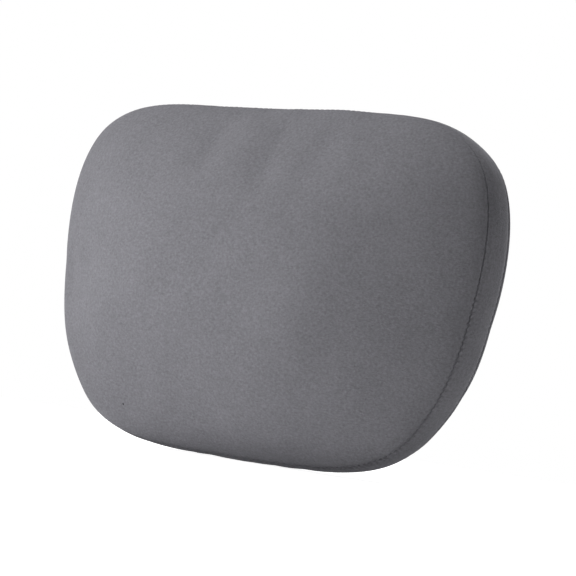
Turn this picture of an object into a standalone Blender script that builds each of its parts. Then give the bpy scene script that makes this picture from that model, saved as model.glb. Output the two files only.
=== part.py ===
"""A boxed head cushion that straps to a car seat's headrest. Run it with blender --background --python part.py.

The cover is three sewn panels: a domed front, a side band and a shallow back. Each is cut from a
fabric with a thin bonded lining, and its edge turns inward at each seam as a seam allowance. A shaped
stuffing fills the cover, and an elastic strap is sewn to the back panel at both ends.

Metres, +Z up, -Y is the front. The origin is the middle of the flat of the back, which lies on the
headrest.
"""

import bmesh
import bpy
from mathutils import Vector

MM = 0.001

# Driving dimensions
WIDTH = 360 * MM  # at the seams, across the widest place
HEIGHT = 260 * MM  # at the seams
BAND_DEPTH = 32 * MM  # from the front seam to the back seam
BAND_BULGE = 2 * MM  # how far the side band swells past its seams
FRONT_CROWN = 52 * MM  # from the front seam to the foremost point
BACK_CROWN = 15 * MM  # from the back seam to the flat of the back
FABRIC = 1.6 * MM  # cover fabric with its bonded lining
SEAM_ALLOWANCE = 10 * MM  # the turned-in edge of each panel
STRAP_WIDTH = 32 * MM
STRAP_LENGTH = 290 * MM
STRAP_THICKNESS = 1.4 * MM
STRAP_HEIGHT = 46 * MM  # middle of the strap over the middle of the back
CLEARANCE = 0.3 * MM  # between pieces that touch
STUFFING_CLEARANCE = 0.9 * MM  # between the stuffing and the cover

# Half of the seam outline's cage, from the middle of the top to the middle of the bottom, as shares
# of half the width and half the height: wide shoulders, and sides that run in to a narrower base
OUTLINE = ((0, 0.99), (0.25, 0.98), (1.09, 1.0), (1.03, -0.28), (0.87, -0.67), (0.68, -0.98), (0, -0.99))

# Section of each crown: how far in from the seam, as a share of the way to the middle, and how high,
# as a share of the crown
FRONT_SECTION = ((0.01, 0.14), (0.19, 0.45), (0.43, 0.76), (0.76, 1.0))
BACK_SECTION = ((0.01, 0.45), (0.14, 1.0), (0.40, 1.0))

# How often the outline's cage is refined before it is lofted and smoothed
COVER_REFINEMENTS = 2
STUFFING_REFINEMENTS = 0
SMOOTH_LEVELS = 1

BACK_SEAM = -BACK_CROWN
FRONT_SEAM = BACK_SEAM - BAND_DEPTH


def refined(cage):
    """A closed cage with twice the points, for the same smooth curve."""
    finer = []
    for before, point, after in zip(cage[-1:] + cage[:-1], cage, cage[1:] + cage[:1]):
        finer.append((before + 6 * point + after) / 8)
        finer.append((point + after) / 2)
    return finer


def seam_outline(refinements):
    """The cage of the seam outline, all the way round, as (x, z), sized so that the smooth curve that
    it stands for is WIDTH by HEIGHT and centred."""
    cage = [Vector(point) for point in OUTLINE] + [Vector((-x, z)) for x, z in OUTLINE[-2:0:-1]]
    fine = refined(refined(refined(cage)))
    curve = [
        (before + 4 * point + after) / 6
        for before, point, after in zip(fine[-1:] + fine[:-1], fine, fine[1:] + fine[:1])
    ]
    widest = max(point.x for point in curve)
    top = max(point.y for point in curve)
    bottom = min(point.y for point in curve)
    middle = (top + bottom) / 2
    for _ in range(refinements):
        cage = refined(cage)
    return [
        Vector((point.x / widest * WIDTH / 2, (point.y - middle) / (top - bottom) * HEIGHT))
        for point in cage
    ]


def ring(outline, inset, y):
    """The outline drawn in by an inset, in the plane at y. A negative inset lets it out."""
    return [Vector((x * (1 - 2 * inset / WIDTH), y, z * (1 - 2 * inset / HEIGHT))) for x, z in outline]


def crown(section, seam, rise, tuck=0.0):
    """Rings over a crown, from the seam to the middle, as (inset, y). tuck draws the section inward, for
    a form that lies inside the cover."""
    outward = 1 if rise > 0 else -1
    points = [Vector((share * HEIGHT / 2, seam + lift * rise)) for share, lift in section]
    steps = [Vector((0.0, seam))] + points + [Vector((HEIGHT / 2, seam + rise))]
    rings = []
    for before, point, after in zip(steps, points, steps[2:]):
        sides = []
        for along in (point - before, after - point):
            along.normalize()
            sides.append(Vector((outward * along.y, -outward * along.x)))
        mitre = (sides[0] + sides[1]) / (1 + sides[0].dot(sides[1]))
        rings.append(tuple(point + tuck * mitre))
    return rings


def new_object(name, mesh, material, collection):
    obj = bpy.data.objects.new(name, mesh)
    collection.objects.link(obj)
    mesh.materials.append(material)
    mesh.shade_smooth()
    return obj


def next_ring(bm, verts, points):
    """Extrudes a closed loop of vertices to a new place, and returns the new loop in the same order."""
    closed = set(verts)
    edges = [edge for edge in bm.edges if set(edge.verts) <= closed]
    made = bmesh.ops.extrude_edge_only(bm, edges=edges)["geom"]
    new = [item for item in made if isinstance(item, bmesh.types.BMVert)]
    partner = {}
    for vert in new:
        for edge in vert.link_edges:
            if edge.other_vert(vert) in closed:
                partner[edge.other_vert(vert)] = vert
    loop = [partner[vert] for vert in verts]
    for vert, point in zip(loop, points):
        vert.co = point
    return loop


def loft(name, refinements, rings, folds, first_closed, last_closed):
    """A cage through rings of the outline, each given as (inset, y), with sharp folds at the rings
    whose places are in folds."""
    outline = seam_outline(refinements)
    bm = bmesh.new()
    first = [bm.verts.new(point) for point in ring(outline, *rings[0])]
    for a, b in zip(first, first[1:] + first[:1]):
        bm.edges.new((a, b))
    loops = [first]
    for inset, y in rings[1:]:
        loops.append(next_ring(bm, loops[-1], ring(outline, inset, y)))
    crease = bm.edges.layers.float.new("crease_edge")
    for place in folds:
        folded = set(loops[place])
        for edge in bm.edges:
            if set(edge.verts) <= folded:
                edge[crease] = 1.0
    for closed, loop in ((first_closed, loops[0]), (last_closed, loops[-1])):
        if closed:
            bm.faces.new(loop)
    bmesh.ops.recalc_face_normals(bm, faces=bm.faces)
    middle = Vector((0, (FRONT_SEAM + BACK_SEAM) / 2, 0))
    facing = sum(
        (face.calc_center_median() - middle).dot(face.normal) * face.calc_area() for face in bm.faces
    )
    if facing < 0:
        bmesh.ops.reverse_faces(bm, faces=bm.faces)
    mesh = bpy.data.meshes.new(name)
    bm.to_mesh(mesh)
    bm.free()
    return mesh


def soften(obj):
    smooth = obj.modifiers.new("Soft form", "SUBSURF")
    smooth.levels = SMOOTH_LEVELS
    smooth.render_levels = SMOOTH_LEVELS


def thicken(obj, thickness, offset):
    wall = obj.modifiers.new("Thickness", "SOLIDIFY")
    wall.thickness = thickness
    wall.offset = offset
    wall.use_even_offset = True


def cover_panel(name, rings, folds, closed, material, collection):
    mesh = loft(name, COVER_REFINEMENTS, rings, folds, False, closed)
    obj = new_object(name, mesh, material, collection)
    soften(obj)
    thicken(obj, FABRIC, -1)
    return obj


def front_panel(material, collection):
    seam = FRONT_SEAM - CLEARANCE / 2
    turned_in = [(SEAM_ALLOWANCE, seam), (0.0, seam)]
    rings = turned_in + crown(FRONT_SECTION, seam, -FRONT_CROWN)
    return cover_panel("front_panel", rings, (1,), True, material, collection)


def side_band(material, collection):
    front = FRONT_SEAM + CLEARANCE / 2
    back = BACK_SEAM - CLEARANCE / 2
    # The smooth form keeps two thirds of how far the middle ring is let out
    swell = BAND_BULGE * 3 / 2
    rings = [
        (SEAM_ALLOWANCE, front),
        (0.0, front),
        (-swell, (front + back) / 2),
        (0.0, back),
        (SEAM_ALLOWANCE, back),
    ]
    return cover_panel("side_band", rings, (1, 3), False, material, collection)


def back_panel(material, collection):
    seam = BACK_SEAM + CLEARANCE / 2
    turned_in = [(SEAM_ALLOWANCE, seam), (0.0, seam)]
    rings = turned_in + crown(BACK_SECTION, seam, BACK_CROWN - CLEARANCE / 2)
    return cover_panel("back_panel", rings, (1,), True, material, collection)


def seam_groove(seam):
    """Rings of the groove that the stuffing keeps round a seam's two turned-in edges."""
    half = CLEARANCE / 2 + FABRIC + STUFFING_CLEARANCE
    outer = FABRIC + 2 * STUFFING_CLEARANCE
    inner = SEAM_ALLOWANCE + STUFFING_CLEARANCE
    return [(outer, seam - half), (inner, seam - half), (inner, seam + half), (outer, seam + half)]


def stuffing(material, collection):
    tuck = FABRIC + STUFFING_CLEARANCE
    front = list(reversed(crown(FRONT_SECTION, FRONT_SEAM, -FRONT_CROWN, tuck)))
    back = crown(BACK_SECTION, BACK_SEAM, BACK_CROWN, tuck)
    waist = [(tuck - BAND_BULGE, (FRONT_SEAM + BACK_SEAM) / 2)]
    rings = front + seam_groove(FRONT_SEAM) + waist + seam_groove(BACK_SEAM) + back
    first_fold = len(front)
    folds = tuple(range(first_fold, first_fold + 4)) + tuple(range(first_fold + 5, first_fold + 9))
    mesh = loft("stuffing", STUFFING_REFINEMENTS, rings, folds, True, True)
    obj = new_object("stuffing", mesh, material, collection)
    soften(obj)
    return obj


def headrest_strap(material, collection, cutters):
    """A flat strap that lies on the back panel and is sewn to it at both ends: a layer that follows the
    back's crown, cut to the strap's length and width."""
    seam = BACK_SEAM + CLEARANCE / 2
    rings = [(0.0, seam)] + crown(BACK_SECTION, seam, BACK_CROWN - CLEARANCE / 2)
    mesh = loft("headrest_strap", COVER_REFINEMENTS, rings, (), False, True)
    obj = new_object("headrest_strap", mesh, material, collection)
    soften(obj)
    thicken(obj, STRAP_THICKNESS, 1 + 2 * CLEARANCE / STRAP_THICKNESS)
    bpy.ops.mesh.primitive_cube_add(size=1, location=(0, BACK_SEAM, STRAP_HEIGHT))
    slice_box = bpy.context.object
    slice_box.name = "strap_slice"
    slice_box.scale = (STRAP_LENGTH, 4 * BACK_CROWN, STRAP_WIDTH)
    slice_box.hide_render = True
    slice_box.display_type = "WIRE"
    for holder in list(slice_box.users_collection):
        holder.objects.unlink(slice_box)
    cutters.objects.link(slice_box)
    cut = obj.modifiers.new("Strap width", "BOOLEAN")
    cut.operation = "INTERSECT"
    cut.object = slice_box
    return obj


def fabric_material(name, colour, roughness):
    material = bpy.data.materials.new(name)
    material.use_nodes = True
    shader = material.node_tree.nodes["Principled BSDF"]
    shader.inputs["Base Color"].default_value = (*colour, 1)
    shader.inputs["Roughness"].default_value = roughness
    shader.inputs["Metallic"].default_value = 0
    material.diffuse_color = (*colour, 1)
    return material


def main():
    for obj in list(bpy.data.objects):
        bpy.data.objects.remove(obj)
    collection = bpy.data.collections.new("headrest_cushion")
    cutters = bpy.data.collections.new("cutters")
    for made in (collection, cutters):
        bpy.context.scene.collection.children.link(made)
    suede = fabric_material("grey_suede", (0.19, 0.188, 0.205), 0.95)
    fibre = fabric_material("white_fibre", (0.80, 0.80, 0.78), 1.0)
    elastic = fabric_material("dark_elastic", (0.035, 0.035, 0.038), 0.8)
    front_panel(suede, collection)
    side_band(suede, collection)
    back_panel(suede, collection)
    stuffing(fibre, collection)
    headrest_strap(elastic, collection, cutters)


main()
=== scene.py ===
import math

import bmesh
import bpy
import numpy as np
from mathutils import Matrix, Vector, noise
from mathutils.bvhtree import BVHTree
from mathutils.kdtree import KDTree


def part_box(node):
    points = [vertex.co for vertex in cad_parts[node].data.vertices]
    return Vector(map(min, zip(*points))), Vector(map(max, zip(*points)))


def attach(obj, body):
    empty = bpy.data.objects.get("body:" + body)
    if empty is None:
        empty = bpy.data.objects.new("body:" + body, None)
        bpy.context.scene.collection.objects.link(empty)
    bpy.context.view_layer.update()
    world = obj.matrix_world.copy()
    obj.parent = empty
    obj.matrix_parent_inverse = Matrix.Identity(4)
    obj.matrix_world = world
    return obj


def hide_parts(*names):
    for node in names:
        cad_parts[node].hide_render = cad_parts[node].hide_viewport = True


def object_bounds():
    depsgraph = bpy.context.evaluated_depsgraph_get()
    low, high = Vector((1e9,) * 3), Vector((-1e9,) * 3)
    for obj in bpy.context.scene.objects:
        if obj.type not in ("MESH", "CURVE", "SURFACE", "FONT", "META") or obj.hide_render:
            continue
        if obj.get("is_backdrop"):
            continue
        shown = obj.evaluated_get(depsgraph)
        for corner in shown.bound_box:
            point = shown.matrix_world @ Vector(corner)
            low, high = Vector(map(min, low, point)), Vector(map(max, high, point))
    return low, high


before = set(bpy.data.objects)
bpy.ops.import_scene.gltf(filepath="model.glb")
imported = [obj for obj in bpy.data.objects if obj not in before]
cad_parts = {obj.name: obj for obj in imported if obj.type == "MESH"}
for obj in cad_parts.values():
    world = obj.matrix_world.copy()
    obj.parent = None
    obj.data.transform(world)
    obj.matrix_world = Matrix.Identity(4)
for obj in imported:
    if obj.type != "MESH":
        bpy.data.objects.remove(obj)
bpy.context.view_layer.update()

bl_info = {
    "name": "Sewn head cushion",
    "version": (1, 0, 0),
    "blender": (4, 5, 0),
    "location": "3D View > Sidebar > Cushion",
    "description": "Dresses a boxed head cushion: stuffed suede cover, seams and an elastic strap",
    "category": "Object",
}

MM = 0.001

# Places taken from the frame
FRONT_LOW, FRONT_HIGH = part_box("front_panel")
BACK_LOW, BACK_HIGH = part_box("back_panel")
BAND_LOW, BAND_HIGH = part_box("side_band")
STRAP_LOW, STRAP_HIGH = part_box("headrest_strap")
WIDTH = FRONT_HIGH.x - FRONT_LOW.x
HEIGHT = FRONT_HIGH.z - FRONT_LOW.z
FRONT_SEAM = (FRONT_HIGH.y + BAND_LOW.y) / 2
BACK_SEAM = (BACK_LOW.y + BAND_HIGH.y) / 2
FRONT_CROWN = FRONT_SEAM - FRONT_LOW.y
BACK_CROWN = BACK_HIGH.y - BACK_SEAM
BAND_BULGE = BAND_HIGH.x - FRONT_HIGH.x
STRAP_LENGTH = STRAP_HIGH.x - STRAP_LOW.x
STRAP_WIDTH = STRAP_HIGH.z - STRAP_LOW.z
STRAP_HEIGHT = (STRAP_HIGH.z + STRAP_LOW.z) / 2
MIDDLE = Vector((0, (FRONT_SEAM + BACK_SEAM) / 2, 0))

# Half of the seam outline's cage, from the middle of the top to the middle of the bottom, as shares
# of half the width and half the height
OUTLINE = ((0, 0.99), (0.25, 0.98), (1.09, 1.0), (1.03, -0.28), (0.87, -0.67), (0.68, -0.98), (0, -0.99))

# Section of each crown: how far in from the seam, as a share of the way to the middle, and how high,
# as a share of the crown
FRONT_SECTION = ((0.01, 0.14), (0.19, 0.45), (0.43, 0.76), (0.76, 1.0))
BACK_SECTION = ((0.01, 0.45), (0.14, 1.0), (0.40, 1.0))

# Where the filling is uneven: broad swells and hollows of the front, in millimetres, as the place (x, z)
# of the middle, how far it reaches each way, and how high it swells
UNEVEN = (
    (-75, -72, 42, 26, -5),
    (32, -92, 40, 32, 6),
    (-20, 58, 46, 34, 3),
    (112, 30, 36, 44, -4.5),
    (-150, -15, 36, 40, -4),
    (60, -40, 34, 38, 3),
    (-38, 94, 13, 22, -1.5),
    (-12, 96, 12, 20, 1.2),
    (15, 86, 13, 24, -1.5),
    (56, 95, 15, 22, -1.3),
    (-88, -92, 16, 12, -1.8),
    (-71, -110, 14, 11, 1.6),
    (-52, -97, 14, 11, 1.6),
)
UNEVEN_FADE = 20 * MM  # how far in from the seam the unevenness begins

# Where the edge is uneven, in millimetres: the place (x, z), how far it reaches, and how far out the
# edge goes at the front seam and at the back seam
UNEVEN_EDGE = (
    (48, 130, 28, 1.6, 0),
    (-132, 120, 30, 1.0, 0),
    (-152, -84, 44, 1.1, 0),
    (180, 30, 60, 0, 1.2),
    (152, 114, 18, -0.6, -1.8),
    (130, -110, 40, 0, -1.6),
)

# How much further back the front seam lies low down, and how far under the middle that begins and over
# how much height it grows, in millimetres
LOW_SEAM_BACK = 4.3 * MM
LOW_SEAM_FROM = 35
LOW_SEAM_OVER = 80

# Where the stitch pits grow weaker toward the top, in millimetres over the middle, over how much height,
# and how weak they get
PIT_FADE_TOP = 45
PIT_FADE_OVER = 50
WEAKEST_PIT = 0.2

# The middle of a speck of dirt on the front, and how wide it is
SPECK = (-92.05 * MM, -62.95 * MM, -103.3 * MM)
SPECK_SIZE = 1.7 * MM

# Cells of the stuffed form, before it is made finer
CELLS_WIDE = 80
CELLS_HIGH = 56
CELLS_DEEP = 8
FINER_LEVELS = 2

# Points along the outline and a crown's section, and passes that even out the grid, halve a search,
# tell the broad swelling from the small folds, and even out which way a seam faces
OUTLINE_SAMPLES = 4800
SECTION_SAMPLES = 600
GRID_SMOOTHING = 60
HALVINGS = 36
BROAD_SMOOTHING = 40
INWARD_SMOOTHING = 8

# Rings round a seam, in millimetres, over which the filling's draw-in is averaged
SEAM_RINGS = (0, 1, 3, 6, 10, 16, 25, 40, 60, 150)

# Rows of a turned-in allowance: how far along it each lies, and how far the seam has closed there
ALLOWANCE_ROWS = ((0.15, 0.35), (0.3, 0.8), (0.5, 1.0), (1.0, 1.0))

LUMP_HEIGHT = 0.2  # of the stuffing's lumps, as a share of the gap between stuffing and cover

NOISE_RANGE = (0.3, 0.7)  # the noise values at which a fabric is at its darkest and lightest

FLOOR_HALF = 6.0
FLOOR_DROP = 0.2 * MM
FRONT_LAMP_RADIUS = 0.12
LAMP_SPREAD = 25  # degrees


def spline_points(cage, places):
    """Points of the smooth curve that a cage stands for, at places counted in the cage's points."""
    first = np.floor(places).astype(int)
    f = (places - first)[:, None]
    a, b, c, d = (cage[(first + step) % len(cage)] for step in (-1, 0, 1, 2))
    blend_b = 3 * f**3 - 6 * f**2 + 4
    blend_c = -3 * f**3 + 3 * f**2 + 3 * f + 1
    return ((1 - f) ** 3 * a + blend_b * b + blend_c * c + f**3 * d) / 6


def seam_outline():
    """The seam outline as dense points (x, z), clockwise from the middle of the top."""
    half = np.array(OUTLINE, float)
    cage = np.vstack([half, half[-2:0:-1] * (-1, 1)])
    curve = spline_points(cage, np.arange(OUTLINE_SAMPLES) * len(cage) / OUTLINE_SAMPLES)
    curve[:, 0] *= WIDTH / 2 / curve[:, 0].max()
    top, bottom = curve[:, 1].max(), curve[:, 1].min()
    curve[:, 1] = (curve[:, 1] - (top + bottom) / 2) / (top - bottom) * HEIGHT
    return curve


def evenly(points, cells):
    """The ends of equal cells along an open run of points."""
    steps = np.linalg.norm(np.diff(points, axis=0), axis=1)
    length = np.concatenate([[0], np.cumsum(steps)])
    wanted = np.linspace(0, length[-1], cells + 1)
    return np.stack([np.interp(wanted, length, column) for column in points.T], axis=1)


def by_bearing(curve, values):
    """The bearings of the outline's points, sorted, and their values in the same order."""
    bearing = np.arctan2(curve[:, 1], curve[:, 0])
    order = np.argsort(bearing)
    return bearing[order], values[order]


def outline_sides(curve):
    """The outline cut at its four corners into top, right, bottom and left runs, clockwise."""
    along = np.roll(curve, -1, axis=0) - np.roll(curve, 1, axis=0)
    facing = np.degrees(np.arctan2(along[:, 0], -along[:, 1]))
    corners = [int(np.argmin(np.abs(facing - angle))) for angle in (135, 45, -45, -135)]
    sides = []
    for start, end in zip(corners, corners[1:] + corners[:1]):
        count = (end - start) % len(curve)
        sides.append(curve[(start + np.arange(count + 1)) % len(curve)])
    return sides


def flat_grid(sides):
    """A grid over the outline, rows from the bottom up and places from left to right."""
    top = evenly(sides[0], CELLS_WIDE)
    right = evenly(sides[1], CELLS_HIGH)[::-1]
    bottom = evenly(sides[2], CELLS_WIDE)[::-1]
    left = evenly(sides[3], CELLS_HIGH)
    u = np.linspace(0, 1, CELLS_WIDE + 1)[None, :, None]
    v = np.linspace(0, 1, CELLS_HIGH + 1)[:, None, None]
    grid = (1 - v) * bottom[None] + v * top[None] + (1 - u) * left[:, None] + u * right[:, None]
    grid -= (1 - v) * ((1 - u) * bottom[0] + u * bottom[-1]) + v * ((1 - u) * top[0] + u * top[-1])
    for _ in range(GRID_SMOOTHING):
        around = grid[:-2, 1:-1] + grid[2:, 1:-1] + grid[1:-1, :-2] + grid[1:-1, 2:]
        grid[1:-1, 1:-1] = around / 4
    return grid


def section_curve(section):
    """Share of the way in, and lift, densely along a crown's section from the seam to the middle."""
    points = [(0.0, 0.0)] + list(section) + [(1.0, 1.0)]
    points += [(2 - share, lift) for share, lift in reversed(section)]
    cage = np.array(points)
    cage = np.vstack([2 * cage[0] - cage[1], cage])
    curve = spline_points(cage, np.linspace(1, len(section) + 2 - 1e-6, SECTION_SAMPLES))
    return curve / (curve[-1, 0], curve[-1, 1])


def inset_shares(points, curve):
    """How far in from the outline each point lies, as a share of the way to the middle."""
    bearing, reach = by_bearing(curve, np.linalg.norm(curve, axis=1))
    low, high = np.zeros(len(points)), np.ones(len(points))
    for _ in range(HALVINGS):
        middle = (low + high) / 2
        x = points[:, 0] / (1 - middle * HEIGHT / WIDTH)
        z = points[:, 1] / np.maximum(1 - middle, 1e-9)
        edge = np.interp(np.arctan2(z, x), bearing, reach, period=2 * math.pi)
        inside = np.hypot(x, z) < edge
        low = np.where(inside, middle, low)
        high = np.where(inside, high, middle)
    return (low + high) / 2


def crown_points(grid, curve, section, seam, rise):
    """The grid laid over a crown, with its cells spread evenly over the curved section."""
    profile = section_curve(section)
    steps = np.diff(profile * (HEIGHT / 2, abs(rise)), axis=0)
    run = np.concatenate([[0], np.cumsum(np.hypot(steps[:, 0], steps[:, 1]))])
    flat = grid.reshape(-1, 2)
    pattern = inset_shares(flat, curve)
    share = np.interp(pattern * run[-1], run, profile[:, 0])
    lift = np.interp(share, profile[:, 0], profile[:, 1])
    widthwise = (1 - share * HEIGHT / WIDTH) / (1 - pattern * HEIGHT / WIDTH)
    middle_ratio = run[-1] / (HEIGHT / 2)
    heightwise = np.where(pattern > 0.999, middle_ratio, (1 - share) / np.maximum(1 - pattern, 1e-6))
    x = flat[:, 0] * widthwise
    z = flat[:, 1] * heightwise
    return np.stack([x, seam + rise * lift, z], axis=1).reshape(*grid.shape[:2], 3)


def uneven_front(front, curve):
    """The front crown with the filling's swells and hollows, which fade out toward the seam."""
    flat = front.reshape(-1, 3)
    inset = inset_shares(flat[:, [0, 2]], curve) * HEIGHT / 2
    share = np.clip(inset / UNEVEN_FADE, 0, 1)
    fade = share**2 * (3 - 2 * share)
    for x, z, wide, high, swell in UNEVEN:
        away = ((flat[:, 0] - x * MM) / (wide * MM)) ** 2 + ((flat[:, 2] - z * MM) / (high * MM)) ** 2
        flat[:, 1] -= swell * MM * fade * np.exp(-away)
    return flat.reshape(front.shape)


def uneven_edge(points):
    """The whole form with its uneven edge, and with the front seam's lower stretch further back."""
    depth = np.clip((points[:, 1] - FRONT_SEAM) / (BACK_SEAM - FRONT_SEAM), 0, 1)
    low = np.clip((-points[:, 2] / MM - LOW_SEAM_FROM) / LOW_SEAM_OVER, 0, 1)
    front = np.clip((points[:, 1] - FRONT_LOW.y) / FRONT_CROWN, 0, 1) * (1 - depth)
    out = np.zeros(len(points))
    for x, z, reach, at_front, at_back in UNEVEN_EDGE:
        away = (points[:, 0] - x * MM) ** 2 + (points[:, 2] - z * MM) ** 2
        near = np.exp(-away / (reach * MM) ** 2) * MM
        out += near * (at_front * (1 - depth) + at_back * depth)
    outward = unit(points * (1, 0, 1)) * out[:, None]
    back = LOW_SEAM_BACK * low**2 * (3 - 2 * low) * front
    return points + outward + back[:, None] * (0.0, 1.0, 0.0)


def loop_places():
    """Row and place in the grid of each point of its edge, clockwise from the top left corner."""
    top = [(CELLS_HIGH, i) for i in range(CELLS_WIDE)]
    right = [(CELLS_HIGH - j, CELLS_WIDE) for j in range(CELLS_HIGH)]
    bottom = [(0, CELLS_WIDE - i) for i in range(CELLS_WIDE)]
    left = [(j, 0) for j in range(CELLS_HIGH)]
    return top + right + bottom + left


def stuffed_form():
    """The closed form of the cushion before it is filled: its points, and the faces of each panel."""
    curve = seam_outline()
    grid = flat_grid(outline_sides(curve))
    front = uneven_front(crown_points(grid, curve, FRONT_SECTION, FRONT_SEAM, -FRONT_CROWN), curve)
    back = crown_points(grid, curve, BACK_SECTION, BACK_SEAM, BACK_CROWN)
    rim = np.array([grid[place] for place in loop_places()])
    across = CELLS_WIDE + 1
    per_grid = across * (CELLS_HIGH + 1)
    points = [front.reshape(-1, 3)]
    for step in range(1, CELLS_DEEP):
        share = step / CELLS_DEEP
        swell = BAND_BULGE * 4 * share * (1 - share)
        depth = FRONT_SEAM + (BACK_SEAM - FRONT_SEAM) * share
        x = rim[:, 0] * (1 + 2 * swell / WIDTH)
        z = rim[:, 1] * (1 + 2 * swell / HEIGHT)
        points.append(np.stack([x, np.full(len(rim), depth), z], axis=1))
    points.append(back.reshape(-1, 3))
    edge = np.array([row * across + place for row, place in loop_places()])
    first_band = per_grid
    first_back = per_grid + len(rim) * (CELLS_DEEP - 1)
    loops = [edge]
    loops += [first_band + len(rim) * step + np.arange(len(rim)) for step in range(CELLS_DEEP - 1)]
    loops.append(first_back + edge)
    rows, places = np.meshgrid(np.arange(CELLS_HIGH), np.arange(CELLS_WIDE), indexing="ij")
    corner = (rows * across + places).ravel()
    front_faces = np.stack([corner, corner + 1, corner + across + 1, corner + across], axis=1)
    back_faces = front_faces[:, ::-1] + first_back
    band_faces = []
    for near, far in zip(loops, loops[1:]):
        band_faces.append(np.stack([near, np.roll(near, -1), np.roll(far, -1), far], axis=1))
    faces = {"front": front_faces, "band": np.vstack(band_faces), "back": back_faces}
    return uneven_edge(np.vstack(points)), faces, loops


def mesh_object(name, points, faces):
    mesh = bpy.data.meshes.new(name)
    mesh.from_pydata([tuple(point) for point in points], [], [tuple(map(int, face)) for face in faces])
    mesh.update()
    obj = bpy.data.objects.new(name, mesh)
    bpy.context.scene.collection.objects.link(obj)
    return obj


def mesh_points(mesh):
    co = np.empty(len(mesh.vertices) * 3)
    mesh.vertices.foreach_get("co", co)
    return co.reshape(-1, 3)


def evaluated_mesh(obj):
    return obj.evaluated_get(bpy.context.evaluated_depsgraph_get()).data


def piece(name, points, faces, material, slot):
    """A smooth piece in one material, which rides on the cushion's one body."""
    made = mesh_object(name, points, faces)
    made.data.shade_smooth()
    made.data.materials.append(material)
    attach(made, "root")
    return made


def filled(points, faces, loops, shape):
    """The form after its filling has pressed it out, by a cloth simulation."""
    form = mesh_object("filled_form", points, np.vstack(list(faces.values())))
    gathered = form.vertex_groups.new(name="gathered")
    gathered.add([int(i) for loop in (loops[0], loops[-1]) for i in loop], 1.0, "REPLACE")
    held = form.vertex_groups.new(name="held")
    flat = np.nonzero(points[:, 1] > BACK_HIGH.y - 0.5 * MM)[0]
    held.add([int(i) for i in flat], 1.0, "REPLACE")
    cloth = form.modifiers.new("Filling", "CLOTH").settings
    cloth.quality = 6
    cloth.mass = 0.2
    cloth.tension_stiffness = shape.stiffness
    cloth.compression_stiffness = shape.stiffness
    cloth.shear_stiffness = shape.stiffness / 2
    cloth.bending_stiffness = shape.bending
    cloth.use_pressure = True
    cloth.uniform_pressure_force = shape.pressure
    cloth.vertex_group_mass = "held"
    cloth.vertex_group_shrink = "gathered"
    cloth.shrink_min = 0.0
    cloth.shrink_max = shape.gather
    cloth.effector_weights.gravity = 0
    for step in range(1, shape.steps + 1):
        bpy.context.scene.frame_set(step)
    result = mesh_points(evaluated_mesh(form))
    bpy.context.scene.frame_set(1)
    bpy.data.objects.remove(form)
    return result


def neighbour_pairs(faces):
    """Each edge of the faces once, as two columns of point numbers."""
    edges = np.vstack([faces[:, (k, (k + 1) % 4)] for k in range(4)])
    return np.unique(np.sort(edges, axis=1), axis=0)


def smoothed(values, pairs, passes):
    """Values at the points, averaged with their neighbours a number of times."""
    count = np.zeros(len(values))
    np.add.at(count, pairs.ravel(), 1)
    for _ in range(passes):
        total = np.zeros_like(values)
        np.add.at(total, pairs[:, 0], values[pairs[:, 1]])
        np.add.at(total, pairs[:, 1], values[pairs[:, 0]])
        values = (values + total / count[:, None]) / 2
    return values


def nearest_points(seam, points):
    """The number of the seam point nearest to each point, and how far away it is."""
    tree = KDTree(len(seam))
    for number, point in enumerate(seam):
        tree.insert(point, number)
    tree.balance()
    found = np.array([tree.find(point)[1:] for point in points])
    return found[:, 0].astype(int), found[:, 1]


def seam_distance(points, loops):
    """How far each point lies from the nearest seam."""
    return nearest_points(points[np.concatenate([loops[0], loops[-1]])], points)[1]


def settled(points, pressed, faces, loops, shape):
    """The filled form held to its cut: the panels' pattern keeps back most of the broad swelling, and
    the small folds stay. What the seams draw in all round alike is let out again."""
    cells = np.vstack(list(faces.values()))
    moved = pressed - points
    broad = smoothed(moved, neighbour_pairs(cells), BROAD_SMOOTHING)
    kept = broad * shape.swell + (moved - broad) * shape.folds
    length = np.maximum(np.linalg.norm(kept, axis=1, keepdims=True), 1e-9)
    kept *= shape.cap * np.tanh(length / shape.cap) / length
    normals = point_normals(points, cells)
    drawn = (kept * normals).sum(axis=1)
    away = seam_distance(points, loops)
    rings = np.array(SEAM_RINGS) * MM
    middles = (rings[1:] + rings[:-1]) / 2
    mean = [drawn[(away >= low) & (away < high)].mean() for low, high in zip(rings, rings[1:])]
    return points + kept - np.interp(away, middles, mean)[:, None] * normals


def finer_panel(points, faces, levels):
    """A panel's smooth surface, cut into finer cells. The first points are still the coarse ones."""
    coarse = mesh_object("coarse_panel", points, faces)
    smooth = coarse.modifiers.new("Finer", "SUBSURF")
    smooth.levels = levels
    smooth.boundary_smooth = "ALL"
    mesh = evaluated_mesh(coarse)
    fine = mesh_points(mesh)
    corners = np.empty(len(mesh.loops), np.int64)
    mesh.loops.foreach_get("vertex_index", corners)
    bpy.data.objects.remove(coarse)
    return fine, corners.reshape(-1, 4)


def open_loops(faces):
    """The panel's free edges, each as a run of point numbers in the direction of its faces."""
    heads = faces.ravel()
    tails = np.roll(faces, -1, axis=1).ravel()
    taken = set(zip(heads.tolist(), tails.tolist()))
    following = {a: b for a, b in taken if (b, a) not in taken}
    loops = []
    while following:
        start = min(following)
        loop = [start]
        step = following.pop(start)
        while step != start:
            loop.append(step)
            step = following.pop(step)
        loops.append(np.array(loop))
    return loops


def point_normals(points, faces):
    corners = points[faces]
    across = np.cross(corners[:, 2] - corners[:, 0], corners[:, 3] - corners[:, 1])
    normals = np.zeros_like(points)
    for k in range(4):
        np.add.at(normals, faces[:, k], across)
    return normals / np.maximum(np.linalg.norm(normals, axis=1, keepdims=True), 1e-12)


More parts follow.
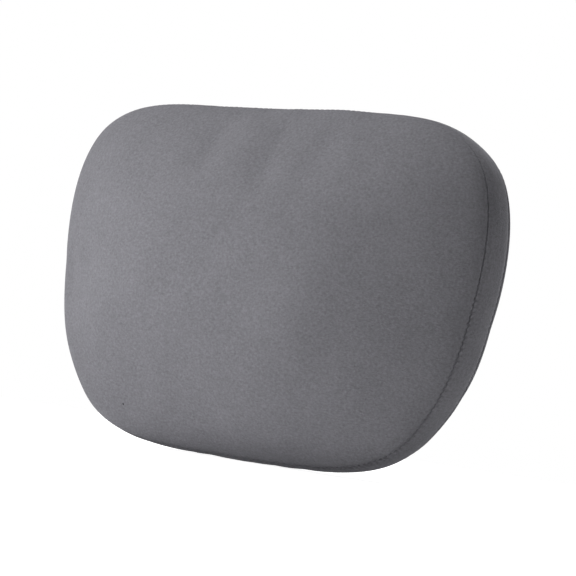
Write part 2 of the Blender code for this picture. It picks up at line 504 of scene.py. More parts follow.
def unit(vectors):
    return vectors / np.maximum(np.linalg.norm(vectors, axis=1, keepdims=True), 1e-12)


def seam_run():
    """Bearing of each dense point of the outline, sorted, and how far round the seam it lies."""
    curve = seam_outline()
    steps = np.linalg.norm(np.roll(curve, -1, axis=0) - curve, axis=1)
    run = np.concatenate([[0], np.cumsum(steps)[:-1]])
    return *by_bearing(curve, run), steps.sum()


def around_seam(points):
    """How far round the seam each point lies, from the middle of the top, and the seam's length."""
    bearing, run, length = seam_run()
    turns = run / length * 2 * math.pi
    wanted = np.arctan2(points[:, 2], points[:, 0])
    sine = np.interp(wanted, bearing, np.sin(turns), period=2 * math.pi)
    cosine = np.interp(wanted, bearing, np.cos(turns), period=2 * math.pi)
    return np.arctan2(sine, cosine) % (2 * math.pi) / (2 * math.pi) * length, length


def stitch_count(length, sizes):
    return round(length / sizes.stitch)


def stitch_pull(points, sizes):
    """How strongly the nearest stitch pulls the cover in at each point: 1 at a stitch, 0 between two,
    and less at the top, where the cover is drawn tight."""
    run, length = around_seam(points)
    turn = run / length * stitch_count(length, sizes) * 2 * math.pi
    slack = np.clip((PIT_FADE_TOP - points[:, 2] / MM) / PIT_FADE_OVER, WEAKEST_PIT, 1)
    return slack * (0.5 + 0.5 * np.cos(turn)) ** 2


def rolled_edge(points, faces, loop, toward, sizes):
    """Rolls a panel's edge inward over the seam, and turns its allowance in."""
    normals = point_normals(points, faces)[loop]
    inward = -unit(normals * (1, 0, 1))
    for _ in range(INWARD_SMOOTHING):
        inward = unit(inward + (np.roll(inward, 1, axis=0) + np.roll(inward, -1, axis=0)) / 2)
    across = np.array((0.0, toward, 0.0))
    seam = points[loop].copy()
    nearest, distance = nearest_points(seam, points)
    distance[loop] = 0
    roll = sizes.roll
    at_back = seam[:, 1].mean() > (FRONT_SEAM + BACK_SEAM) / 2
    open_half = sizes.gap / 2 * (sizes.back_gap_share if at_back else 1)
    back_off = (roll + open_half) * np.clip(1 - distance / sizes.roll_reach, 0, 1) ** 2
    pull = stitch_pull(seam, sizes)
    dent = sizes.pit * pull[nearest] * np.exp(-((distance / sizes.pit_reach) ** 2))
    sink = sizes.sink * np.exp(-((distance / sizes.sink_reach) ** 2))
    points = points - back_off[:, None] * across + (dent + sink)[:, None] * inward[nearest]
    rim = points[loop]
    rows = []
    for turn in np.radians(np.linspace(0, 90, 7)[1:]):
        rows.append(rim + across * roll * math.sin(turn) + inward * roll * (1 - math.cos(turn)))
    turned = rows[-1]
    for share, closed in ALLOWANCE_ROWS:
        shut = across * (open_half - sizes.closed_gap / 2) * closed
        rows.append(turned + inward * sizes.allowance * share + shut)
    count = len(loop)
    first = len(points)
    strips = []
    before = loop
    for row in range(len(rows)):
        after = first + row * count + np.arange(count)
        strips.append(np.stack([before, after, np.roll(after, -1), np.roll(before, -1)], axis=1))
        before = after
    return np.vstack([points, *rows]), np.vstack([faces, *strips]), before


def sewn_panel(points, faces, sizes):
    """A closed panel of the cover: its fine outer side, its edges rolled over the seams and turned in,
    and a plainer inner side."""
    used, numbers = np.unique(faces, return_inverse=True)
    numbers = numbers.reshape(faces.shape)
    inner = points[used] - sizes.fabric * point_normals(points[used], numbers)
    fine, cells = finer_panel(points[used], numbers, FINER_LEVELS)
    ring_ends = []
    for loop in open_loops(cells):
        toward = np.sign(fine[loop, 1].mean() - points[used, 1].mean())
        fine, cells, last = rolled_edge(fine, cells, loop, toward, sizes)
        corners = np.nonzero(loop < len(used))[0]
        inner[loop[corners]] = fine[last[corners]] - (0, toward * sizes.fabric, 0)
        ring_ends.append((loop, last, corners))
    first_inner = len(fine)
    made = [tuple(cell) for cell in cells.tolist()]
    made += [tuple(cell[::-1]) for cell in (numbers + first_inner).tolist()]
    for loop, last, corners in ring_ends:
        for here, there in zip(corners, np.roll(corners, -1)):
            span = (here + np.arange((there - here) % len(loop) + 1)) % len(loop)
            start, end = (int(loop[corner]) + first_inner for corner in (here, there))
            made.append((start, *last[span].tolist(), end)[::-1])
    return np.vstack([fine, inner]), made


def fibre_form(points, faces, loops, sizes):
    """The stuffing: the filled form drawn in from the cover, further where the seams are turned in, with
    small lumps."""
    away = seam_distance(points, loops)
    depth = sizes.fill_gap + sizes.allowance * np.exp(-((away / sizes.allowance) ** 2))
    lumps = np.array([noise.noise(Vector(point) * sizes.lumps) for point in points])
    return points - (depth + sizes.fill_gap * LUMP_HEIGHT * lumps)[:, None] * point_normals(points, faces)


class Shading:
    """A node tree, with short ways to add the nodes used here. An input is a value or a socket."""

    def __init__(self, tree, shader):
        self.tree = tree
        self.shader = tree.nodes[shader]

    def fill(self, node, inputs):
        for name, value in inputs.items():
            if isinstance(value, bpy.types.NodeSocket):
                self.tree.links.new(value, node.inputs[name])
            else:
                node.inputs[name].default_value = value

    def surface(self, inputs):
        self.fill(self.shader, inputs)

    def add(self, kind, inputs, **settings):
        """Adds a node, and gives its outputs."""
        node = self.tree.nodes.new("ShaderNode" + kind)
        for name, value in settings.items():
            setattr(node, name, value)
        self.fill(node, inputs)
        return node.outputs

    def place(self):
        """The place on the object."""
        return self.add("TexCoord", {})["Object"]

    def noise(self, place, scale, detail, roughness=0.5):
        inputs = {"Vector": place, "Scale": scale, "Detail": detail, "Roughness": roughness}
        return self.add("TexNoise", inputs)["Fac"]

    def stretched(self, place, scale):
        return self.add("Mapping", {"Vector": place, "Scale": scale})["Vector"]

    def math(self, operation, first, second):
        return self.add("Math", {0: first, 1: second}, operation=operation)["Value"]

    def mixed(self, *parts):
        """The sum of values, each given with its share."""
        total = 0
        for value, share in parts:
            total = self.math("ADD", total, self.math("MULTIPLY", value, share))
        return total

    def between(self, share, dark, light):
        """A colour between two, by a noise share."""
        node = self.tree.nodes.new("ShaderNodeValToRGB")
        for stop, position, colour in zip(node.color_ramp.elements, NOISE_RANGE, (dark, light)):
            stop.position = position
            stop.color = (*colour, 1)
        self.fill(node, {"Fac": share})
        return node.outputs["Color"]

    def bumps(self, *layers):
        """The normal after bumps on one another, each given as height and distance in metres."""
        below = {}
        for height, distance in layers:
            inputs = {"Strength": 1.0, "Distance": distance, "Height": height}
            below = {"Normal": self.add("Bump", inputs | below)["Normal"]}
        return below["Normal"]

    def seen_share(self):
        """1 for what the camera sees, also in gloss and through glass, and 0 for other light."""
        path = self.add("LightPath", {})
        seen = self.math("MAXIMUM", path["Is Camera Ray"], path["Is Glossy Ray"])
        return self.math("MAXIMUM", seen, path["Is Transmission Ray"])


def new_material(name):
    """A new material and its shading."""
    material = bpy.data.materials.new(name)
    material.use_nodes = True
    return material, Shading(material.node_tree, "Principled BSDF")


def shades(colour, spread):
    return [channel * (1 - spread) for channel in colour], [channel * (1 + spread) for channel in colour]


def specked(shading, place, colour, dirt):
    """The colour, with the speck of dirt low on the left of the front."""
    away = shading.add("VectorMath", {0: place, 1: SPECK}, operation="DISTANCE")["Value"]
    inside = shading.math("LESS_THAN", away, SPECK_SIZE / 2)
    return shading.add("MixRGB", {"Fac": inside, "Color1": colour, "Color2": (*dirt, 1)})["Color"]


def suede_material(finish):
    """Brushed suede: a short nap in small tufts, laid this way and that in soft patches, over a weave."""
    material, shading = new_material("grey_suede")
    place = shading.place()
    nap = shading.noise(place, 560, 3, 0.65)
    weave = shading.noise(shading.stretched(place, (380, 380, 1150)), 1, 2, 0.6)
    patches = shading.noise(place, 34, 3, 0.55)
    share = shading.mixed((nap, 0.6), (weave, 0.28), (patches, 0.12))
    colour = shading.between(share, *shades(finish.suede, finish.nap_contrast))
    shading.surface({
        "Base Color": specked(shading, place, colour, finish.dirt),
        "Roughness": 0.95,
        "Specular IOR Level": 0.15,
        "Sheen Weight": finish.sheen,
        "Sheen Roughness": 0.6,
        "Sheen Tint": (0.8, 0.8, 0.86, 1),
        "Normal": shading.bumps((weave, 0.25 * MM), (nap, 0.3 * MM)),
    })
    return material


def thread_material(finish):
    """Twisted sewing thread."""
    material, shading = new_material("sewing_thread")
    place = shading.place()
    fibres = shading.noise(place, 4000, 2)
    shading.surface({
        "Base Color": shading.between(fibres, *shades(finish.thread, 0.25)),
        "Roughness": 0.7,
        "Normal": shading.bumps((fibres, 0.05 * MM)),
    })
    return material


def elastic_material(finish):
    """Woven elastic: fine yarns along it, with a little fuzz."""
    material, shading = new_material("woven_elastic")
    place = shading.place()
    yarns = shading.noise(shading.stretched(place, (500, 500, 2600)), 1, 2)
    fuzz = shading.noise(place, 1800, 2)
    share = shading.mixed((yarns, 0.6), (fuzz, 0.4))
    shading.surface({
        "Base Color": shading.between(share, *shades(finish.elastic, 0.3)),
        "Roughness": 0.75,
        "Sheen Weight": 0.1,
        "Normal": shading.bumps((yarns, 0.15 * MM), (fuzz, 0.08 * MM)),
    })
    return material


def fibre_material(finish):
    """Loose polyester fibre."""
    material, shading = new_material("stuffing_fibre")
    place = shading.place()
    strands = shading.noise(place, 260, 6, 0.7)
    shading.surface({
        "Base Color": shading.between(strands, *shades(finish.fibre, 0.1)),
        "Roughness": 0.9,
        "Normal": shading.bumps((strands, 1.2 * MM)),
    })
    return material


def tube_run(path, radius, sides):
    """Points and faces of a closed round tube along a path, with pinched ends."""
    along = unit(np.gradient(path, axis=0))
    side = unit(np.cross(along, (0.0, 1.0, 0.0)))
    up = np.cross(side, along)
    from_end = np.minimum(np.arange(len(path)), np.arange(len(path))[::-1])
    width = (radius * np.clip(from_end * 0.8 + 0.25, 0, 1))[:, None, None]
    turn = np.linspace(0, 2 * math.pi, sides, endpoint=False)[None, :, None]
    rings = path[:, None] + width * (np.cos(turn) * side[:, None] + np.sin(turn) * up[:, None])
    return rings.reshape(-1, 3), [face[::-1] for face in ring_faces(len(path), sides)]


def ring_faces(rings, around):
    """Faces of a closed run of rings, each of as many points, with a cap at each end."""
    first = np.arange(rings - 1)[:, None] * around + np.arange(around)
    after = np.roll(first, -1, axis=1)
    sides = np.stack([first, after, after + around, first + around], axis=2).reshape(-1, 4)
    last = (rings - 1) * around
    return sides.tolist() + [list(range(around))[::-1], list(range(last, last + around))]


def joined(pieces):
    """Points and faces of several pieces, each given as its points and faces, as one."""
    points, faces, made = [], [], 0
    for piece_points, piece_faces in pieces:
        faces += [[number + made for number in face] for face in piece_faces]
        points.append(piece_points)
        made += len(piece_points)
    return np.vstack(points), faces


def stitches(name, depth_place, sizes, material):
    """A run of stitches down in a seam, each a short length of thread between two holes."""
    curve = seam_outline()
    seam_bearing, run, length = seam_run()
    order = np.argsort(run)
    run_bearing = np.unwrap(seam_bearing[order])
    count = stitch_count(length, sizes)
    bearing, reach = by_bearing(curve, np.linalg.norm(curve, axis=1))
    tubes = []
    for stitch in range(count):
        places = (stitch + np.linspace(0.1, 0.9, 7)) / count * length
        angle = np.interp(places, run[order], run_bearing)
        far = np.interp((angle + math.pi) % (2 * math.pi) - math.pi, bearing, reach, period=2 * math.pi)
        sag = sizes.thread * np.array((1.6, 0.6, 0.1, 0, 0.1, 0.6, 1.6))
        far = far - sizes.thread_depth - sag
        path = np.stack([far * np.cos(angle), np.full(7, depth_place), far * np.sin(angle)], axis=1)
        tubes.append(tube_run(uneven_edge(path), sizes.thread / 2, 6))
    piece(name, *joined(tubes), material, "cover_suede")


def back_surface(cover):
    """A function that gives how far back the back cover reaches at places (x, z) under the strap."""
    mesh = cover.data
    tree = BVHTree.FromPolygons([v.co for v in mesh.vertices], [tuple(f.vertices) for f in mesh.polygons])
    xs = np.linspace(-STRAP_LENGTH, STRAP_LENGTH, 81) / 2
    zs = STRAP_HEIGHT + np.linspace(-STRAP_WIDTH, STRAP_WIDTH, 9) / 2
    reach = np.empty((len(xs), len(zs)))
    for i, x in enumerate(xs):
        for j, z in enumerate(zs):
            place = tree.ray_cast(Vector((x, 1, z)), Vector((0, -1, 0)))[0]
            reach[i, j] = place.y
    reach[1:-1] = np.maximum(reach[1:-1], (reach[2:] + reach[:-2]) / 2)

    def surface(x, z):
        along = np.clip((x - xs[0]) / (xs[1] - xs[0]), 0, len(xs) - 1.001)
        across = np.clip((z - zs[0]) / (zs[1] - zs[0]), 0, len(zs) - 1.001)
        i, j = along.astype(int), across.astype(int)
        f, g = along - i, across - j
        near = reach[i, j] * (1 - g) + reach[i, j + 1] * g
        far = reach[i + 1, j] * (1 - g) + reach[i + 1, j + 1] * g
        return near * (1 - f) + far * f

    return surface


def end_seam(sizes):
    """Lines of stitches (start, end) that hold the strap's ends: a box with a cross, as (x, z) from the
    strap's middle."""
    outer = STRAP_LENGTH / 2 - sizes.end_margin
    inner = STRAP_LENGTH / 2 - sizes.end_fold + sizes.end_margin / 2
    side = STRAP_WIDTH / 2 - sizes.end_margin
    box = [(inner, side), (outer, side), (outer, -side), (inner, -side)]
    lines = list(zip(box, box[1:] + box[:1])) + [(box[0], box[2]), (box[1], box[3])]
    lines += [((-a, b), (-c, d)) for (a, b), (c, d) in lines]
    return [(np.array(start), np.array(end)) for start, end in lines]


def distance_to_lines(places, lines):
    """How far each place (x, z) lies from the nearest of some straight lines."""
    nearest = np.full(len(places), 1.0)
    for start, end in lines:
        along = end - start
        share = np.clip(((places - start) @ along) / (along @ along), 0, 1)
        nearest = np.minimum(nearest, np.linalg.norm(places - start - share[:, None] * along, axis=1))
    return nearest


def strap_top(x, z, surface, sizes):
    """How far back the strap's outer face lies at places (x, z), and its thickness there."""
    edge = STRAP_LENGTH / 2 - np.abs(x)
    fold = 1 / (1 + np.exp((edge - sizes.end_fold) / (0.6 * MM)))
    layers = sizes.thickness * (1 + 0.9 * fold)
    away = distance_to_lines(np.stack([x, z - STRAP_HEIGHT], axis=1), end_seam(sizes))
    held = np.exp(-((away / sizes.dent_reach) ** 2))
    rib = sizes.rib_relief * np.cos(x / sizes.rib * 2 * math.pi)
    return surface(x, z) + sizes.lift + layers - sizes.dent * held + rib, layers


def webbing(surface, sizes):
    """Points and faces of the strap: a flat woven ring of places swept along it, rounded at its edges
    and folded under at its ends."""
    steps = round(STRAP_LENGTH / sizes.rib) * 6
    x = np.linspace(-STRAP_LENGTH / 2, STRAP_LENGTH / 2, steps + 1)
    share = np.sin(np.linspace(-math.pi / 2, math.pi / 2, 25))
    across = np.concatenate([share, share[-2:0:-1]])
    face = np.concatenate([np.ones(len(share)), -np.ones(len(share) - 2)])
    round_off = np.sqrt(1 - np.abs(across) ** 24)
    past = np.clip(1 - (STRAP_LENGTH / 2 - np.abs(x)) / sizes.thickness, 0, 1)
    end_round = np.sqrt(np.clip(1 - past**2, 0.02, 1))
    scallop = 1 + sizes.scallop / STRAP_WIDTH * 2 * np.cos(x / sizes.rib * 2 * math.pi)
    grid_x = np.repeat(x, len(across))
    grid_z = STRAP_HEIGHT + (STRAP_WIDTH / 2 * scallop[:, None] * across[None]).ravel()
    top, layers = strap_top(grid_x, grid_z, surface, sizes)
    middle = top - layers / 2
    half = layers / 2 * (end_round[:, None] * round_off[None] * face[None]).ravel()
    points = np.stack([grid_x, middle + half, grid_z], axis=1)
    return points, ring_faces(len(x), len(across))


def strap_thread(surface, sizes):
    """Points and faces of the stitches that hold the strap's ends down."""
    tubes = []
    for start, end in end_seam(sizes):
        count = round(np.linalg.norm(end - start) / sizes.stitch)
        for stitch in range(count):
            share = (stitch + np.linspace(0.08, 0.92, 7)) / count
            place = start + share[:, None] * (end - start)
            top, _ = strap_top(place[:, 0], place[:, 1] + STRAP_HEIGHT, surface, sizes)
            sag = sizes.thread * np.array((1.4, 0.5, 0.0, 0, 0.0, 0.5, 1.4))
            depth = top + sizes.thread * 0.3 - sag
            path = np.stack([place[:, 0], depth, place[:, 1] + STRAP_HEIGHT], axis=1)
            tubes.append(tube_run(path, sizes.thread / 2, 6))
    return joined(tubes)


class CushionShape(bpy.types.PropertyGroup):
    """Sizes of the sewn and stuffed form"""

    pressure: bpy.props.FloatProperty(
        name="Filling pressure", description="How hard the filling presses the cover out",
        default=4.0, min=0,
    )
    stiffness: bpy.props.FloatProperty(
        name="Fabric stiffness", description="How little the cover stretches",
        default=40.0, min=1,
    )
    bending: bpy.props.FloatProperty(
        name="Fabric bending", description="How little the cover creases",
        default=2.0, min=0,
    )
    gather: bpy.props.FloatProperty(
        name="Gathering", description="How much the seams draw the cover in along them",
        default=0.03, min=0,
    )
    steps: bpy.props.IntProperty(
        name="Steps", description="Steps of the filling simulation",
        default=20, min=1,
    )
    swell: bpy.props.FloatProperty(
        name="Swelling", description="Share of the broad swelling that the cut lets through",
        default=0.05,
    )
    folds: bpy.props.FloatProperty(
        name="Folds", description="Share of the small folds that stays",
        default=0.15, min=0,
    )
    cap: bpy.props.FloatProperty(
        name="Most movement", description="How far the filling may move the cover",
        default=2 * MM, unit="LENGTH",
    )


class SeamSizes(bpy.types.PropertyGroup):
    """Sizes of the seams and their stitches"""

    roll: bpy.props.FloatProperty(
        name="Rolled edge", description="Radius of a panel's edge where it turns in",
        default=0.7 * MM, unit="LENGTH",
    )
    roll_reach: bpy.props.FloatProperty(
        name="Rolled edge's reach", description="How far in the cells make room for it",
        default=9 * MM, unit="LENGTH",
    )
    gap: bpy.props.FloatProperty(
        name="Seam gap", description="Between two rolled edges at the front",
        default=2.2 * MM, unit="LENGTH",
    )
    back_gap_share: bpy.props.FloatProperty(
        name="Back seam", description="How open the back seam is, as a share of the front one",
        default=0.3,
    )
    closed_gap: bpy.props.FloatProperty(
        name="Closed gap", description="Between the two turned-in allowances",
        default=0.5 * MM, unit="LENGTH",
    )
    stitch: bpy.props.FloatProperty(
        name="Stitch length", description="From one stitch hole to the next",
        default=4.4 * MM, unit="LENGTH",
    )
    pit: bpy.props.FloatProperty(
        name="Stitch pit", description="How deep a stitch pulls the cover in",
        default=0.9 * MM, unit="LENGTH",
    )
    pit_reach: bpy.props.FloatProperty(
        name="Stitch pit's reach", description="How far from the seam a pit fades",
        default=2.2 * MM, unit="LENGTH",
    )
    sink: bpy.props.FloatProperty(
        name="Seam depth", description="How deep the seam lies in the cover",
        default=0.5 * MM, unit="LENGTH",
    )
    sink_reach: bpy.props.FloatProperty(
        name="Seam depth's reach", description="How far from the seam the cover dips",
        default=3 * MM, unit="LENGTH",
    )
    fabric: bpy.props.FloatProperty(
        name="Fabric", description="Thickness of the cover with its lining",
        default=1.2 * MM, unit="LENGTH",
    )
    allowance: bpy.props.FloatProperty(
        name="Seam allowance", description="How far a panel's edge is turned in",
        default=5 * MM, unit="LENGTH",
    )
    fill_gap: bpy.props.FloatProperty(
        name="Fill gap", description="From the cover's outside to the stuffing",
        default=3.4 * MM, unit="LENGTH",
    )
    lumps: bpy.props.FloatProperty(
        name="Lumps", description="Lumps of the stuffing in a metre",
        default=60,
    )
    thread: bpy.props.FloatProperty(
        name="Thread", description="Thickness of the sewing thread",
        default=0.4 * MM, unit="LENGTH",
    )
    thread_depth: bpy.props.FloatProperty(
        name="Thread depth", description="How deep the thread lies in the seam",
        default=2.3 * MM, unit="LENGTH",
    )


class StrapSizes(bpy.types.PropertyGroup):
    """Sizes of the elastic strap and the seams at its ends"""

    thickness: bpy.props.FloatProperty(
        name="Thickness", description="Of one layer of elastic",
        default=1.3 * MM, unit="LENGTH",
    )
    lift: bpy.props.FloatProperty(
        name="Lift", description="Between the strap and the back cover",
        default=0.25 * MM, unit="LENGTH",
    )
    rib: bpy.props.FloatProperty(
        name="Rib", description="From one rib of the weave to the next",
        default=2.2 * MM, unit="LENGTH",
    )
    rib_relief: bpy.props.FloatProperty(
        name="Rib relief", description="How far a rib stands out",
        default=0.16 * MM, unit="LENGTH",
    )
    scallop: bpy.props.FloatProperty(
        name="Scallop", description="How far the edge goes in between two ribs",
        default=0.12 * MM, unit="LENGTH",
    )
    end_fold: bpy.props.FloatProperty(
        name="End fold", description="Length turned under at each end",
        default=18 * MM, unit="LENGTH",
    )
    end_margin: bpy.props.FloatProperty(
        name="End margin", description="From the edge to the line of stitches",
        default=3 * MM, unit="LENGTH",
    )
    stitch: bpy.props.FloatProperty(
        name="Stitch length", description="From one stitch hole to the next",
        default=2.8 * MM, unit="LENGTH",
    )
    thread: bpy.props.FloatProperty(
        name="Thread", description="Thickness of the thread",
        default=0.5 * MM, unit="LENGTH",
    )
    dent: bpy.props.FloatProperty(
        name="Dent", description="How deep a line of stitches pulls the strap in",
        default=0.45 * MM, unit="LENGTH",
    )
    dent_reach: bpy.props.FloatProperty(
        name="Dent's reach", description="How far from the stitches a dent fades",
        default=1.1 * MM, unit="LENGTH",
    )


class CushionFinish(bpy.types.PropertyGroup):
    """Colours and surface of the fabrics"""

    suede: bpy.props.FloatVectorProperty(
        name="Suede", description="Colour of the cover",
        subtype="COLOR", default=(0.19, 0.188, 0.205),
    )
    nap_contrast: bpy.props.FloatProperty(
        name="Nap contrast", description="How much lighter and darker the tufts are",
        default=0.3, min=0, max=1,
    )
    sheen: bpy.props.FloatProperty(
        name="Sheen", description="Soft light on the tips of the nap",
        default=0.12, min=0, max=1,
    )
    dirt: bpy.props.FloatVectorProperty(
        name="Dirt", description="Colour of the speck of dirt",
        subtype="COLOR", default=(0.05, 0.05, 0.054),
    )
    thread: bpy.props.FloatVectorProperty(
        name="Thread", description="Colour of the sewing thread",
        subtype="COLOR", default=(0.07, 0.07, 0.075),
    )
    elastic: bpy.props.FloatVectorProperty(
        name="Elastic", description="Colour of the strap",
        subtype="COLOR", default=(0.035, 0.035, 0.038),
    )
    fibre: bpy.props.FloatVectorProperty(
        name="Fibre", description="Colour of the stuffing",
        subtype="COLOR", default=(0.8, 0.8, 0.78),
    )


class CameraPlace(bpy.types.PropertyGroup):
    """Where the cushion is seen from"""

    yaw: bpy.props.FloatProperty(
        name="Turn", description="Angle to the right of straight on",
        subtype="ANGLE", default=math.radians(31.72),
    )
    pitch: bpy.props.FloatProperty(
        name="Height angle", description="Angle over the horizon",
        subtype="ANGLE", default=math.radians(-4.309),
    )
    roll: bpy.props.FloatProperty(
        name="Roll", description="Turn about the line of sight",
        subtype="ANGLE", default=math.radians(8.639),
    )
    distance: bpy.props.FloatProperty(
        name="Distance", description="From the middle of the cushion",
        default=1.443, unit="LENGTH",
    )
    lens: bpy.props.FloatProperty(
        name="Lens", description="Focal length in millimetres",
        default=121.75,
    )
    aside: bpy.props.FloatProperty(
        name="Aside", description="How far right of the cushion's middle it looks",
        default=13.67 * MM, unit="LENGTH",
    )
    above: bpy.props.FloatProperty(
        name="Above", description="How far over the cushion's middle it looks",
        default=-0.4 * MM, unit="LENGTH",
    )


class StageLook(bpy.types.PropertyGroup):
    """Floor and lamps. A lamp of level 1 shows a colour that faces it as it is written."""

    front: bpy.props.FloatProperty(
        name="Front lamp", description="Level of the near lamp at the front left",
        default=0.38, min=0,
    )
    front_distance: bpy.props.FloatProperty(
        name="Front lamp's distance", description="From the cushion's middle",
        default=0.5, unit="LENGTH",
    )
    top: bpy.props.FloatProperty(
        name="Top lamp", description="Level of the lamp over the front left",
        default=0.68, min=0,
    )
    back: bpy.props.FloatProperty(
        name="Back lamp", description="Level of the lamp behind",
        default=0.3, min=0,
    )
    low: bpy.props.FloatProperty(
        name="Low lamp", description="Level of the lamp that shines up through the floor",
        default=0.12, min=0,
    )
    ambient: bpy.props.FloatProperty(
        name="Ambient", description="Level of the even light from all sides",
        default=0.12, min=0,
    )
    floor: bpy.props.FloatVectorProperty(
        name="Floor", description="Colour of the floor",
        subtype="COLOR", default=(0.8, 0.8, 0.8),
    )
    floor_glow: bpy.props.FloatProperty(
        name="Floor white", description="What the floor adds to its own colour where it is seen",
        default=0.85,
    )


def direction(bearing, height):
    """The way out from the cushion, by the angle to the right of its front and over the horizon."""
    level = math.cos(height)
    return Vector((math.sin(bearing) * level, -math.cos(bearing) * level, math.sin(height)))


class CUSHION_OT_camera(bpy.types.Operator):
    """Place the camera"""

    bl_idname = "cushion.camera"
    bl_label = "Camera"

    def execute(self, context):
        place = context.scene.camera_place
        back = direction(place.yaw, place.pitch)
        right = Vector((math.cos(place.yaw), math.sin(place.yaw), 0))
        up = back.cross(right)
        data = bpy.data.cameras.new("camera")
        data.lens = place.lens
        camera = bpy.data.objects.new("camera", data)
        context.scene.collection.objects.link(camera)
        camera.location = MIDDLE + back * place.distance + right * place.aside + up * place.above
        level = (-back).to_track_quat("-Z", "Y").to_matrix().to_4x4()
        camera.rotation_euler = (level @ Matrix.Rotation(place.roll, 4, "Z")).to_euler()
        context.scene.camera = camera
        return {"FINISHED"}


class CUSHION_OT_cover(bpy.types.Operator):
    """Sew and fill the cover: front panel, side band, back panel and stuffing"""

    bl_idname = "cushion.cover"
    bl_label = "Cover"

    def execute(self, context):
        shape = context.scene.cushion_shape
        sizes = context.scene.seam_sizes
        points, faces, loops = stuffed_form()
        points = settled(points, filled(points, faces, loops, shape), faces, loops, shape)
        suede = suede_material(context.scene.cushion_finish)
        for part, node in (("front", "front_panel"), ("band", "side_band"), ("back", "back_panel")):
            panel = piece(part + "_cover", *sewn_panel(points, faces[part], sizes), suede, "cover_suede")
            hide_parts(node)
        cells = np.vstack(list(faces.values()))
        fibre = fibre_material(context.scene.cushion_finish)
        form = fibre_form(points, cells, loops, sizes)
        fill = piece("fibre_fill", form, cells, fibre, "stuffing_fibre")
        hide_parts("stuffing")
        return {"FINISHED"}


class CUSHION_OT_stitches(bpy.types.Operator):
    """Sew the two seams"""

    bl_idname = "cushion.stitches"
    bl_label = "Stitches"

    def execute(self, context):
        thread = thread_material(context.scene.cushion_finish)
        for name, place in (("front_seam_thread", FRONT_SEAM), ("back_seam_thread", BACK_SEAM)):
            stitches(name, place, context.scene.seam_sizes, thread)
        return {"FINISHED"}


class CUSHION_OT_strap(bpy.types.Operator):
    """Lay the elastic strap across the back"""

    bl_idname = "cushion.strap"
    bl_label = "Strap"

    def execute(self, context):
        sizes = context.scene.strap_sizes
        finish = context.scene.cushion_finish
        surface = back_surface(bpy.data.objects["back_cover"])
        elastic, thread = elastic_material(finish), thread_material(finish)
        strap = piece("strap_webbing", *webbing(surface, sizes), elastic, "strap_elastic")
        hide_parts("headrest_strap")
        piece("strap_thread", *strap_thread(surface, sizes), thread, "strap_elastic")
        return {"FINISHED"}


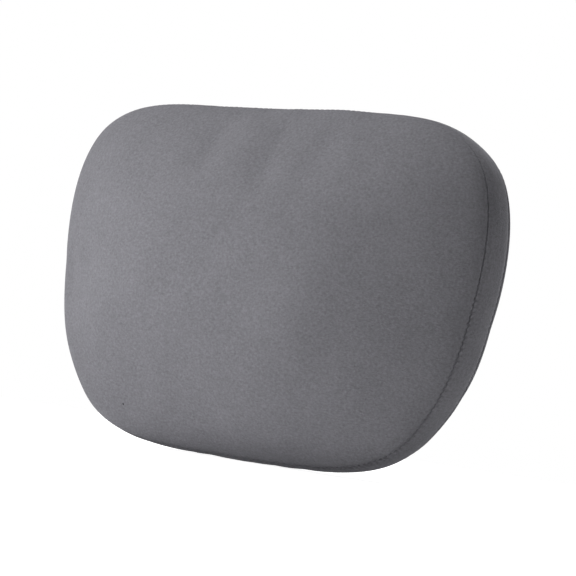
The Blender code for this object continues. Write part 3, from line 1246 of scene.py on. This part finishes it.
class CUSHION_OT_stage(bpy.types.Operator):
    """Set the floor, the lamps and the background"""

    bl_idname = "cushion.stage"
    bl_label = "Stage"

    def execute(self, context):
        look = context.scene.stage_look
        context.scene.view_settings.view_transform = "Standard"
        self.make_floor(look)
        self.make_lamps(look)
        self.make_world(look)
        return {"FINISHED"}

    def make_floor(self, look):
        low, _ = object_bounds()
        mesh = bpy.data.meshes.new("floor")
        bm = bmesh.new()
        bmesh.ops.create_grid(bm, x_segments=1, y_segments=1, size=FLOOR_HALF)
        bm.to_mesh(mesh)
        bm.free()
        floor = bpy.data.objects.new("floor", mesh)
        floor.location.z = low.z - FLOOR_DROP
        floor.visible_shadow = False
        bpy.context.scene.collection.objects.link(floor)
        floor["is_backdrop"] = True
        material, shading = new_material("pale_floor")
        shading.surface({
            "Base Color": (*look.floor, 1),
            "Roughness": 0.9,
            "Specular IOR Level": 0.0,
            "Emission Color": (1, 1, 1, 1),
            "Emission Strength": shading.math("MULTIPLY", shading.seen_share(), look.floor_glow),
        })
        mesh.materials.append(material)

    def make_lamp(self, name, kind, bearing, height, distance):
        """A lamp that shines on the cushion's middle, from degrees to the right of the front and over
        the horizon."""
        lamp = bpy.data.lights.new(name, kind)
        holder = bpy.data.objects.new(name, lamp)
        out = direction(math.radians(bearing), math.radians(height))
        holder.location = MIDDLE + out * distance
        holder.rotation_euler = out.to_track_quat("Z", "Y").to_euler()
        holder.visible_camera = False
        bpy.context.scene.collection.objects.link(holder)
        return lamp

    def make_lamps(self, look):
        front = self.make_lamp("front_lamp", "POINT", -24, -4, look.front_distance)
        front.energy = look.front * 4 * math.pi**2 * look.front_distance**2
        front.shadow_soft_size = FRONT_LAMP_RADIUS
        lamps = (
            ("top_lamp", look.top, -60, 65),
            ("back_lamp", look.back, 180, 12),
            ("low_lamp", look.low, 0, -75),
        )
        for name, level, bearing, height in lamps:
            far = self.make_lamp(name, "SUN", bearing, height, 3)
            far.energy = level * math.pi
            far.angle = math.radians(LAMP_SPREAD)

    def make_world(self, look):
        world = bpy.data.worlds.new("studio")
        bpy.context.scene.world = world
        world.use_nodes = True
        shading = Shading(world.node_tree, "Background")
        extra = shading.math("MULTIPLY", shading.seen_share(), 1 - look.ambient)
        strength = shading.math("ADD", extra, look.ambient)
        shading.surface({"Color": (1, 1, 1, 1), "Strength": strength})


class CUSHION_PT_sidebar(bpy.types.Panel):
    """Lists the pieces and their sizes"""

    bl_idname = "CUSHION_PT_sidebar"
    bl_label = "Head cushion"
    bl_space_type = "VIEW_3D"
    bl_region_type = "UI"
    bl_category = "Cushion"

    def draw(self, context):
        column = self.layout.column()
        for operator in OPERATORS:
            column.operator(operator.bl_idname)
        for name in GROUPS:
            group = getattr(context.scene, name)
            for item in group.bl_rna.properties:
                if not item.is_readonly and item.identifier != "name":
                    column.prop(group, item.identifier)


OPERATORS = (
    CUSHION_OT_camera,
    CUSHION_OT_cover,
    CUSHION_OT_stitches,
    CUSHION_OT_strap,
    CUSHION_OT_stage,
)
GROUPS = {
    "cushion_shape": CushionShape,
    "seam_sizes": SeamSizes,
    "strap_sizes": StrapSizes,
    "cushion_finish": CushionFinish,
    "camera_place": CameraPlace,
    "stage_look": StageLook,
}


def register():
    for group in GROUPS.values():
        bpy.utils.register_class(group)
    for name, group in GROUPS.items():
        setattr(bpy.types.Scene, name, bpy.props.PointerProperty(type=group))
    for operator in OPERATORS:
        bpy.utils.register_class(operator)
    bpy.utils.register_class(CUSHION_PT_sidebar)


def unregister():
    bpy.utils.unregister_class(CUSHION_PT_sidebar)
    for operator in reversed(OPERATORS):
        bpy.utils.unregister_class(operator)
    for name in GROUPS:
        delattr(bpy.types.Scene, name)
    for group in GROUPS.values():
        bpy.utils.unregister_class(group)


def main():
    register()
    bpy.ops.cushion.camera()
    bpy.ops.cushion.cover()
    bpy.ops.cushion.stitches()
    bpy.ops.cushion.strap()
    bpy.ops.cushion.stage()


if __name__ == "__main__":
    main()
